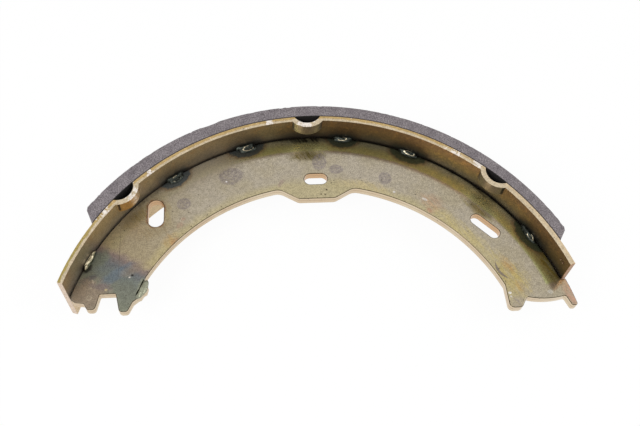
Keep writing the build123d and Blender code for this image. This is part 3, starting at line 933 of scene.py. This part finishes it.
# Painted highlights: pale patches on each crater's lip, and on the first weld's ridges above a height
lip_highlight_patches = ramp(tree, noise(tree, point, 0.45, 1.0), 0.46, 0.52)
painted_lip_highlight = product(tree, ramp(tree, off_lip, 0.05, 0.2, 0.95, 0.0), lip_highlight_patches)
painted_ridge_highlight = product(
    tree, ramp(tree, place["Height"], WEB_TOP / MM + 0.8, WEB_TOP / MM + 1.3),
    calc(tree, "SUBTRACT", 1.0, past_first),
)
colour = blend(tree, calc(tree, "MAXIMUM", painted_lip_highlight, painted_ridge_highlight), colour, tone(214, 202, 172))
fill(tree, shader.inputs, Base_Color=colour, Metallic=0.9, Roughness=ramp(tree, crust, 0.3, 0.7, 0.3, 0.5))
add_bump(tree, shader, crust, 0.04, 0.5)
tally("weld finish", tree)

# %% [markdown]
# ## Rounding what the press left
#
# A CAD edge is perfectly sharp and catches no light. The punch that cut the web and the rim left
# a small roll on every edge, so each plate is copied, its loose triangles are merged into one
# skin, and a Bevel modifier rounds every edge that turns more than thirty degrees.

# %% Helpers: select, edit and shape a piece
# Corners nearer than this are one corner, in a solid's loose triangles and in a skin with many cuts
DOUBLES = 0.002 * MM
SLIVER = 0.001 * MM


def select_only(piece):
    """Deselects everything, then selects one piece and makes it active."""
    bpy.ops.object.select_all(action="DESELECT")
    piece.select_set(True)
    bpy.context.view_layer.objects.active = piece


def edit_all(piece):
    """Goes into edit mode with all of one piece selected."""
    select_only(piece)
    bpy.ops.object.mode_set(mode="EDIT")
    bpy.ops.mesh.select_all(action="SELECT")


def merged_copy(node_name, piece_name):
    """A copy of a CAD node with its loose triangles merged into one closed skin."""
    piece = bpy.data.objects.new(piece_name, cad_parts[node_name].data.copy())
    bpy.context.scene.collection.objects.link(piece)
    edit_all(piece)
    bpy.ops.mesh.remove_doubles(threshold=DOUBLES)
    bpy.ops.mesh.dissolve_limited(angle_limit=math.radians(0.4))
    bpy.ops.object.mode_set(mode="OBJECT")
    return piece


def merge_slivers(piece):
    """Merges the hair-thin slivers that many small cuts leave in a skin."""
    edit_all(piece)
    bpy.ops.mesh.remove_doubles(threshold=SLIVER)
    bpy.ops.mesh.dissolve_degenerate(threshold=SLIVER)
    bpy.ops.mesh.delete_loose()
    bpy.ops.object.mode_set(mode="OBJECT")


def modify(piece, name, kind, **settings):
    """Adds a modifier with its settings to a piece and applies it."""
    select_only(piece)
    modifier = piece.modifiers.new(name, kind)
    for setting, value in settings.items():
        setattr(modifier, setting, value)
    bpy.ops.object.modifier_apply(modifier=modifier.name)


def round_edges(piece, width, segments=3):
    """Rounds every sharp edge of a piece."""
    modify(
        piece, "pressed edges", "BEVEL", width=width, segments=segments, limit_method="ANGLE",
        angle_limit=math.radians(30), use_clamp_overlap=True,
    )


def cut_away(piece, cutter):
    """Cuts one shape out of a piece and deletes the shape."""
    modify(piece, "cut", "BOOLEAN", operation="DIFFERENCE", solver="EXACT", object=cutter)
    bpy.data.objects.remove(cutter)


def smooth_faces(piece):
    """Smooths the shading of curved faces and keeps the big flat ones flat."""
    select_only(piece)
    bpy.ops.object.shade_smooth_by_angle(angle=math.radians(50))
    modify(piece, "keep big faces flat", "WEIGHTED_NORMAL", weight=100, keep_sharp=True)


# %% Helpers: add shapes and dress pieces
BALL = {"segments": 48, "ring_count": 24, "radius": MM}


def add_shape(primitive, place, turn_angle, scale, **settings):
    """Adds a primitive turned about the upright, with its place, turn and size put into its mesh."""
    bpy.ops.object.select_all(action="DESELECT")
    primitive(location=place, rotation=(0, 0, math.radians(turn_angle)), scale=scale, **settings)
    bpy.ops.object.transform_apply(location=True, rotation=True, scale=True)
    return bpy.context.object


def join_all(pieces, name):
    """Joins pieces into the first of them."""
    select_only(pieces[0])
    for piece in pieces:
        piece.select_set(True)
    bpy.ops.object.join()
    pieces[0].name = name
    return pieces[0]


def wear(piece, material):
    """Gives a piece its one finish."""
    piece.data.materials.clear()
    piece.data.materials.append(material)


def dress(piece, material, slot, *nodes):
    """Gives a piece its finish and lets it stand for its CAD nodes on the shoe's one body."""
    wear(piece, material)
    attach(piece, "root")
    if nodes:
        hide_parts(*nodes)
    print(piece.name, "has", len(piece.data.polygons), "faces")


# %% [markdown]
# ## The web, and the torn metal beside its inner prong
#
# Something tore the plate's inner edge beside the prong and folded a lump of it back. A dark crack
# parts the lump from the plate. The crack is a groove, cut with two thin bars laid end to end, and
# the lump is a low mound that is remeshed and roughened so that it looks torn and not moulded.

# %% Web, crack and torn lump
WEB_EDGE_ROLL = 0.38 * MM
# Width and height of the bars that cut the crack, and half sizes and sink of the lump (mm)
CRACK_WIDTH = 0.42
CRACK_BAR_HEIGHT = 1.6
LUMP_SIZE = (3.6, 1.5, 0.8)
LUMP_SINK = 0.15


def roughen(piece, voxel, size, strength):
    """Remeshes a piece into even faces and gives it a rough skin."""
    modify(piece, "even faces", "REMESH", mode="VOXEL", voxel_size=voxel * MM)
    texture = bpy.data.textures.new(piece.name + " skin", "CLOUDS")
    texture.noise_scale = size * MM
    texture.noise_depth = 3
    modify(
        piece, "rough skin", "DISPLACE", texture=texture, texture_coords="LOCAL", strength=strength * MM,
        mid_level=0.5,
    )
    bpy.ops.object.shade_smooth()


web = merged_copy("web", "web_plate")
round_edges(web, WEB_EDGE_ROLL)
for (middle_x, middle_y), stretch, stretch_turn in crack_stretches():
    bar = add_shape(
        bpy.ops.mesh.primitive_cube_add, (middle_x * MM, middle_y * MM, WEB_TOP), stretch_turn,
        (stretch + 0.3, CRACK_WIDTH, CRACK_BAR_HEIGHT), size=MM,
    )
    cut_away(web, bar)
smooth_faces(web)
dress(web, web_steel, "plated_web", "web")

lump = add_shape(
    bpy.ops.mesh.primitive_uv_sphere_add,
    (LUMP_PLACE[0] * MM, LUMP_PLACE[1] * MM, WEB_TOP - LUMP_SINK * MM), LUMP_TURN, LUMP_SIZE, **BALL
)
lump.name = "torn_lump"
roughen(lump, 0.15, 1.4, 0.3)
dress(lump, web_steel, "plated_web")

# %% [markdown]
# ## The rim
#
# The strip's press edges are rounded like the web's, only finer, because it is half as thick. Two
# drops of weld spatter froze on its wall near the right end. Each is a squashed ball that sits
# half in the wall.

# %% Rim and spatter
RIM_EDGE_ROLL = 0.2 * MM
# Angle of each drop (degrees) and its height above the web (mm)
SPATTERS = ((69.15, 7.75), (70.0, 7.6))
SPATTER_RADIUS = 0.55 * MM

rim = merged_copy("rim", "rim_strip")
round_edges(rim, RIM_EDGE_ROLL)
smooth_faces(rim)
for spatter_angle, height in SPATTERS:
    drop = add_shape(
        bpy.ops.mesh.primitive_ico_sphere_add,
        polar(RIM_INNER_RADIUS - 0.05 * MM, spatter_angle, WEB_TOP + height * MM), -spatter_angle,
        (1.0, 0.8, 1.0), subdivisions=3, radius=SPATTER_RADIUS,
    )
    bpy.ops.object.shade_smooth()
    rim = join_all([rim, drop], "rim_strip")
dress(rim, rim_steel, "plated_rim", "rim")

# %% [markdown]
# ## The lining's chipped edges
#
# Ground friction material chips where it is handled. Each chip is a flattened ball laid across an
# edge and cut away from the block. Their places come from a seeded random list, so that every run
# gives the same block, and one long shallow chip is where the real block has lost a step.

# %% Lining
LINING_EDGE_ROLL = 0.15 * MM
# Angle (degrees), half length and depth (mm) of the long chip, and the ranges of the small ones
LONG_CHIP = (-22.2, 4.2, 0.45)
CHIP_ANGLES = (-63, 63)
CHIP_LENGTHS = (0.5, 1.6)
CHIP_DEPTHS = (0.15, 0.32)
CHIP_SEED = 11
CHIPS = 26


def chip(angle, half_length, depth):
    """A ball for one chip on the outer upper edge, at an angle from the shoe's middle."""
    turn = math.radians(angle)
    place = (GRIND_X + LINING_RADIUS * math.sin(turn), GRIND_Y + LINING_RADIUS * math.cos(turn), RIM_TOP)
    return add_shape(
        bpy.ops.mesh.primitive_ico_sphere_add, place, -angle, (half_length, depth, depth * 1.6),
        subdivisions=3, radius=MM,
    )


lining = merged_copy("lining", "lining_block")
round_edges(lining, LINING_EDGE_ROLL, 2)
chance = random.Random(CHIP_SEED)
cut_away(lining, chip(*LONG_CHIP))
for number in range(CHIPS):
    cut_away(lining, chip(*[chance.uniform(*span) for span in (CHIP_ANGLES, CHIP_LENGTHS, CHIP_DEPTHS)]))
merge_slivers(lining)
smooth_faces(lining)
dress(lining, lining_mix, "friction_block", "lining")

# %% [markdown]
# ## Weld beads with craters
#
# Each weld was made by a burst of current that melted the two plates together, threw up a bead
# and left a crater in it. A bead starts as a ball squashed to the real size. Its top faces are
# inset and pushed down for the crater, the solid that joins the plates is added to it, and a
# remesh melts the two into one skin, which is then roughened.

# %% Welds
def select_faces(piece, test):
    """Goes into edit mode with only those faces selected whose middle passes a test."""
    select_only(piece)
    bpy.ops.object.mode_set(mode="EDIT")
    bpy.ops.mesh.select_mode(type="FACE")
    bpy.ops.mesh.select_all(action="DESELECT")
    bpy.ops.object.mode_set(mode="OBJECT")
    for face in piece.data.polygons:
        face.select = test(face.center)
    bpy.ops.object.mode_set(mode="EDIT")


def ball(angle, middle, *half_sizes):
    """A squashed ball that sits on the web beside the rim."""
    place = polar(middle * MM, angle, WEB_TOP)
    return add_shape(bpy.ops.mesh.primitive_uv_sphere_add, place, -angle, half_sizes, **BALL)


# Ridges thrown up by the first weld: angle, radius, half length, half width, height
RIDGES = ((-60.9, 96.6, 1.5, 0.35, 2.3), (-62.4, 96.4, 1.2, 0.4, 1.9), (-64.4, 96.2, 1.3, 0.6, 2.2))
CRATER_INSET = 0.12 * MM
CRATER_DEPTH_SHARE = 0.5

for number, (bead_angle, middle, half_length, half_width, height) in enumerate(BEADS, 1):
    bead = ball(bead_angle, middle, half_length, half_width, height)
    cap = WEB_TOP + height * MM * math.sqrt(1 - CRATER_SHARE**2)
    select_faces(bead, lambda centre: centre.z > cap)
    bpy.ops.mesh.inset(thickness=CRATER_INSET, depth=0)
    bpy.ops.transform.translate(value=(0, 0, -CRATER_DEPTH_SHARE * height * MM))
    bpy.ops.object.mode_set(mode="OBJECT")
    parts = [merged_copy(f"weld_{number}", f"weld_bead_{number}"), bead]
    if number == 1:
        parts += [ball(*ridge) for ridge in RIDGES]
    weld = join_all(parts, f"weld_bead_{number}")
    roughen(weld, 0.13, 1.1, 0.16)
    dress(weld, weld_steel, "weld_metal", f"weld_{number}")

# %% Bonding film, on its own solid
wear(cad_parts["adhesive"], bond_film)
print("adhesive wears", bond_film.name)

# %% [markdown]
# ## Floor and light
#
# The shoe lies on white paper in a bright, even studio. The paper is white because its own colour
# is, and only a weak glow that the camera and the reflections see takes it the last step to
# white, so it still holds the soft shadow under the rim. Plain lamps at a plain level keep every
# colour on the part as it was written.

# %% Floor
WHITE = tone(255, 255, 255)
GLOW = 0.95


def seen(tree):
    """1 where a surface is seen by the camera or in a reflection, and 0 where it only gives light."""
    rays = node(tree, "LightPath").outputs
    return calc(tree, "MAXIMUM", rays["Is Camera Ray"], rays["Is Glossy Ray"])


bpy.ops.mesh.primitive_plane_add(size=4.0, location=(0, 0, 0))
floor = bpy.context.object
floor.name = "paper_floor"
floor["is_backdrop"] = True
paper = bpy.data.materials.new("white paper")
paper.use_nodes = True
tree = paper.node_tree
shader = tree.nodes["Principled BSDF"]
fill(tree, shader.inputs, Base_Color=tone(249, 249, 248), Roughness=0.9)
glow = node(tree, "Emission")
feed(tree, glow.inputs["Color"], WHITE)
mixer = node(tree, "MixShader")
for socket, value in zip(mixer.inputs, (product(tree, seen(tree), GLOW), shader.outputs[0], glow.outputs[0])):
    feed(tree, socket, value)
feed(tree, tree.nodes["Material Output"].inputs["Surface"], mixer.outputs[0])
floor.data.materials.append(paper)
tally("paper finish", tree)

# %% World and lamps
SKY_LIGHT = 0.62
SKY_SEEN = 0.35

world = bpy.data.worlds.new("studio")
bpy.context.scene.world = world
world.use_nodes = True
tree = world.node_tree
strength = calc(tree, "MULTIPLY_ADD", seen(tree), SKY_SEEN, SKY_LIGHT)
fill(tree, tree.nodes["Background"].inputs, Color=WHITE, Strength=strength)


def add_lamp(name, place, size, power):
    """A square soft box that faces the shoe."""
    facing = (-Vector(place)).to_track_quat("-Z", "Y").to_euler()
    bpy.ops.object.light_add(type="AREA", location=place, rotation=facing)
    lamp = bpy.context.object
    lamp.name = name
    lamp.data.shape = "SQUARE"
    lamp.data.size = size
    lamp.data.energy = power
    print(name, "lamp of", power, "W")


add_lamp("key", (-0.55, -0.45, 0.75), 0.5, 5.0)
add_lamp("fill", (0.7, -0.1, 0.6), 0.6, 2.2)

# %% Measure the dressed shoe, and finish
low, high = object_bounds()
print("dressed size:", [round((b - a) / MM, 1) for a, b in zip(low, high)], "mm")
